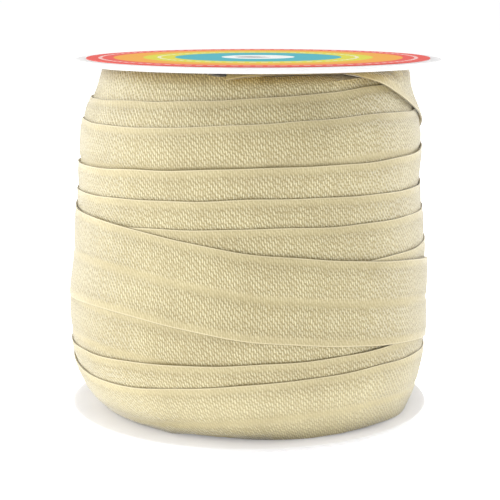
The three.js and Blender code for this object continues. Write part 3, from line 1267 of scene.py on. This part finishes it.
@dataclass(frozen=True)
class TapePieces:
    """Models the tape: the wound length in one piece and the loose end in another.

    Attributes:
        winding: how it is wound.
        run: how it runs to its cut end.
        steps: sections to a full turn.
        fine_steps: sections to a full turn of the loose end.
        body_bore: radius of the hole through the inner turns.
        body_depth: how far the inner turns' side lies under the roll's side.
        body_gaps: how far they stay over the roll's lower end, and under its top where that is
            pressed down.
        body_steps: places up their side, and round them.
    """

    winding: Winding
    run: LooseRun
    steps: int = 180
    fine_steps: int = 300
    body_bore: float = 7.2
    body_depth: float = 1.9
    body_gaps: tuple[float, float] = (0.1, 0.55)
    body_steps: tuple[int, int] = (24, 96)

    def section_points(self, travel: Points) -> tuple[Points, Points]:
        """Places the tape's section along its travel.

        Args:
            travel: places along the tape, one for each section.

        Returns:
            The points, and the map's metres along and down.
        """
        side = self.winding.side
        down, out = self.winding.tape.outline()
        along = travel[:, None]
        angle = -along
        edge = side.length_to(self.winding.upper_edge(along))
        spread = 1 + Curve(self.winding.spread)(along) / self.winding.tape.width
        length = edge - down[None, :] * spread
        radius, height, heading = side.place(length, np.broadcast_to(angle, length.shape))
        proud = self.winding.face(along, length)
        loose = self.run.place(along, np.broadcast_to(down[None, :], length.shape))
        free = smooth_step(along, self.run.starts, self.run.starts + self.run.joins)
        free = np.broadcast_to(free, length.shape)
        turn_r = radius + proud * np.sin(heading)
        turn_z = height - proud * np.cos(heading)
        outer_r = turn_r * (1 - free) + loose[0] * free
        outer_z = turn_z * (1 - free) + loose[1] * free
        facing = heading * (1 - free) + loose[2] * free
        thick_r = outer_r + out[None, :] * np.sin(facing)
        thick_z = outer_z - out[None, :] * np.cos(facing)
        points = side.point(np.broadcast_to(angle, thick_r.shape), thick_r, thick_z)
        step = np.gradient(np.radians(travel)) * outer_r.mean(axis=1)
        distance = np.cumsum(step) * MM
        chart = np.stack(np.broadcast_arrays(distance[:, None], down[None, :] * MM), axis=-1)
        return points, chart

    def travels(self, start: float, end: float, steps: int) -> Points:
        """Lists the travel of each section from start to end, at so many sections to a turn."""
        return np.linspace(start, end, round((end - start) * steps / FULL_TURN) + 1)

    def inner_turns(self) -> bpy.types.Object:
        """Models the turns that lie under those that show, as one plain body.

        Returns:
            The body.
        """
        side = self.winding.side
        lowest = side.bottom + self.body_gaps[0]
        highest = side.top - side.pocket_depth - self.body_gaps[1]
        heights = np.linspace(lowest, highest, self.body_steps[0])
        radii = side.radius(heights) - self.body_depth
        radii = np.concatenate([[self.body_bore], radii, [self.body_bore]])
        heights = np.concatenate([heights[:1], heights, heights[-1:]])
        angle = np.linspace(0, FULL_TURN, self.body_steps[1] + 1)[:-1, None]
        points = side.point(angle, radii[None, :], heights[None, :])
        points[:, [0, -1], 0] -= side.centre_x
        chart = np.zeros((*points.shape[:2], 2))
        chart[..., 1] = self.winding.tape.width / 2 * MM
        return WrappedSheet("inner_turns", points, chart, self.winding.tape.chart, closed=True).build()

    def wound(self, finish: bpy.types.Material) -> bpy.types.Object:
        """Models the wound length.

        Args:
            finish: the tape's material.

        Returns:
            The piece.
        """
        travel = self.travels(self.winding.starts, self.winding.ends, self.steps)
        points, chart = self.section_points(travel)
        piece = WrappedSheet("wound_tape", points, chart, self.winding.tape.chart).build()
        body = self.inner_turns()
        Hands.take(piece)
        body.select_set(True)
        bpy.ops.object.join()
        Hands.finish(piece, finish, Slot.ELASTIC, "wound_elastic")
        return piece

    def loose(self, finish: bpy.types.Material) -> bpy.types.Object:
        """Models the loose end.

        Args:
            finish: the tape's material.

        Returns:
            The piece.
        """
        travel = self.travels(self.winding.ends, self.run.cut, self.fine_steps)
        points, chart = self.section_points(travel)
        piece = WrappedSheet("loose_tape_end", points, chart, self.winding.tape.chart).build()
        Hands.finish(piece, finish, Slot.ELASTIC, "loose_end")
        return piece


@dataclass(frozen=True)
class Spool:
    """The spool: two flanges, the board core between them and the paper label.

    Attributes:
        flange_diameter: across a flange.
        flange_thickness: through it.
        edge_round: radius of its rounded rim.
        bore: diameter of the hole through it.
        shift: how far each flange sits off the bore, the lower one left and the upper one right.
        height: from the floor to the upper flange's top.
        label_diameter: across the label.
        label_hole: diameter of its hole.
        label_thickness: through the paper.
        core_diameter: across the core.
        core_play: how much shorter it is than the space between the flanges.
        cut_past: how much longer than a plate the cutter of its hole is.
    """

    flange_diameter: float = 72.0
    flange_thickness: float = 1.0
    edge_round: float = 0.35
    bore: float = 6.2
    shift: float = 0.9
    height: float = 69.75
    label_diameter: float = 67.4
    label_hole: float = 7.4
    label_thickness: float = 0.12
    core_diameter: float = 14.0
    core_play: float = 0.1
    cut_past: float = 2.0

    def cylinder(
        self, name: str, diameter: float, length: float, middle: float, x: float = 0.0, **settings: object
    ) -> bpy.types.Object:
        """Models an upright cylinder.

        Args:
            name: the piece's name.
            diameter: across it.
            length: from its lower end to its upper one.
            middle: height of its middle.
            x: where its axis is.
            settings: more of the settings of Blender's cylinder.

        Returns:
            The piece.
        """
        Hands.put_down()
        bpy.ops.mesh.primitive_cylinder_add(
            radius=diameter / 2 * MM, depth=length * MM, location=(x * MM, 0, middle * MM), **settings
        )
        return Hands.name(bpy.context.object, name)

    def disc(
        self, name: str, diameter: float, thickness: float, base: float, x: float, hole: float, rim: float
    ) -> bpy.types.Object:
        """Models a round plate with a hole on the spool's axis.

        Args:
            name: the piece's name.
            diameter: across it.
            thickness: through it.
            base: height of its lower face.
            x: where its middle is.
            hole: diameter of the hole.
            rim: radius of its rounded rim, or 0.

        Returns:
            The piece.
        """
        middle = base + thickness / 2
        plate = self.cylinder(name, diameter, thickness, middle, x, vertices=256)
        cutter = self.cylinder(name + "_cutter", hole, thickness + self.cut_past, middle, vertices=96)
        Hands.apply(plate, "BOOLEAN", object=cutter, operation="DIFFERENCE", solver="EXACT")
        bpy.data.objects.remove(cutter)
        if rim:
            Hands.apply(
                plate,
                "BEVEL",
                width=rim * MM,
                segments=4,
                limit_method="ANGLE",
                angle_limit=math.radians(60),
            )
        Hands.smooth(plate, 40)
        return plate

    def flanges(self, finish: bpy.types.Material) -> None:
        """Models both flanges.

        Args:
            finish: their material.
        """
        upper_base = self.height - self.flange_thickness
        for name, x, base in (("lower", -self.shift, 0.0), ("upper", self.shift, upper_base)):
            plate = self.disc(
                name + "_flange",
                self.flange_diameter,
                self.flange_thickness,
                base,
                x,
                self.bore,
                self.edge_round,
            )
            Hands.finish(plate, finish, Slot.PLASTIC, "flange_bottom" if x < 0 else "flange_top")

    def label(self) -> None:
        """Models the paper label on the upper flange."""
        plate = self.disc(
            "paper_label",
            self.label_diameter,
            self.label_thickness,
            self.height + 0.01,
            self.shift,
            self.label_hole,
            0.0,
        )
        Hands.finish(plate, LabelFinish(self.shift).material(), Slot.PAPER, "label_disc")

    def core(self) -> None:
        """Models the board tube that the tape is wound on."""
        length = self.height - 2 * self.flange_thickness - self.core_play
        tube = self.cylinder(
            "board_core",
            self.core_diameter,
            length,
            self.height / 2,
            vertices=96,
            end_fill_type="NOTHING",
        )
        wall = (self.core_diameter - self.bore) / 2
        Hands.apply(tube, "SOLIDIFY", thickness=wall * MM, offset=-1.0, use_rim=True)
        Hands.apply(tube, "BEVEL", width=0.2 * MM, segments=2, limit_method="ANGLE")
        Hands.smooth(tube, 40)
        Hands.finish(tube, BoardFinish().material(), Slot.BOARD, "spool_core")


@dataclass(frozen=True)
class SoftLight:
    """A large soft light that faces the roll.

    Attributes:
        name: its name.
        azimuth: angle round the roll, 0 at the front and growing to the right.
        height: its height over the floor, in metres.
        distance: from the roll's axis, in metres.
        size: its side, in metres.
        power: in watts.
        aim: height that it faces, in metres.
    """

    name: str
    azimuth: float
    height: float
    distance: float
    size: float
    power: float
    aim: float = 0.035

    def build(self) -> None:
        """Adds the light."""
        lamp = bpy.data.lights.new(self.name, "AREA")
        lamp.shape = "SQUARE"
        lamp.size = self.size
        lamp.energy = self.power
        holder = bpy.data.objects.new(self.name, lamp)
        turn = math.radians(self.azimuth)
        holder.location = (self.distance * math.sin(turn), -self.distance * math.cos(turn), self.height)
        drop = math.atan2(self.distance, self.height - self.aim)
        holder.rotation_euler = (drop, 0.0, turn)
        holder.visible_camera = False
        bpy.context.scene.collection.objects.link(holder)


@dataclass(frozen=True)
class Studio:
    """The white floor, the light and the camera.

    Attributes:
        floor_size: side of the floor, in metres.
        sky: strength of the even white light from all round.
        lights: the soft lights.
        camera_place: where the camera stands.
        camera_drop: how far it looks down, in degrees.
        lens: its focal length, on a sensor 36 mm wide.
    """

    floor_size: float = 200.0
    sky: float = 0.45
    lights: tuple[SoftLight, ...] = (
        SoftLight("front_left_light", -60.0, 0.5, 0.72, 0.6, 2.2),
        SoftLight("left_light", -95.0, 0.25, 0.75, 0.6, 2.1),
        SoftLight("back_left_light", -125.0, 0.25, 0.75, 0.6, 1.7),
        SoftLight("right_light", 95.0, 0.6, 0.7, 0.6, 1.35),
        SoftLight("back_right_light", 125.0, 0.25, 0.75, 0.6, 2.5),
        SoftLight("top_light", 0.0, 0.9, 0.15, 0.6, 2.2),
    )
    camera_place: tuple[float, float, float] = (-0.7, -292.0, 84.9)
    camera_drop: float = 10.43
    lens: float = 105.84

    def floor(self) -> None:
        """Lays the floor."""
        Hands.put_down()
        bpy.ops.mesh.primitive_plane_add(size=self.floor_size, location=(0, 0, 0))
        plane = Hands.name(bpy.context.object, "studio_floor")
        plane.data.materials.append(FloorFinish().material())

    def surroundings(self) -> None:
        """Sets the light from all round."""
        world = bpy.data.worlds.new("white_room")
        world.use_nodes = True
        background = world.node_tree.nodes["Background"]
        background.inputs["Color"].default_value = (1.0, 1.0, 1.0, 1.0)
        background.inputs["Strength"].default_value = self.sky
        bpy.context.scene.world = world

    def camera(self) -> None:
        """Stands the camera at the photograph's place."""
        data = bpy.data.cameras.new("camera")
        data.sensor_width = 36.0
        data.lens = self.lens
        data.clip_start = 0.01
        data.clip_end = 400.0
        holder = bpy.data.objects.new("camera", data)
        holder.location = tuple(value * MM for value in self.camera_place)
        holder.rotation_euler = (math.radians(90 - self.camera_drop), 0.0, 0.0)
        bpy.context.scene.collection.objects.link(holder)
        bpy.context.scene.camera = holder

    def build(self) -> None:
        """Sets up the whole studio."""
        bpy.context.scene.view_settings.view_transform = "Standard"
        self.floor()
        self.surroundings()
        for light in self.lights:
            light.build()
        self.camera()


def main() -> None:
    """Builds the spool, the tape and the studio."""
    logging.basicConfig(level=logging.INFO, format="%(name)s: %(message)s")
    spool = Spool()
    spool.flanges(PlasticFinish().material())
    spool.core()
    spool.label()
    winding = Winding()
    tape = TapePieces(winding, LooseRun(winding))
    elastic = KnitFinish().material(winding.tape)
    tape.wound(elastic)
    tape.loose(elastic)
    Studio().build()


if __name__ == "__main__":
    main()
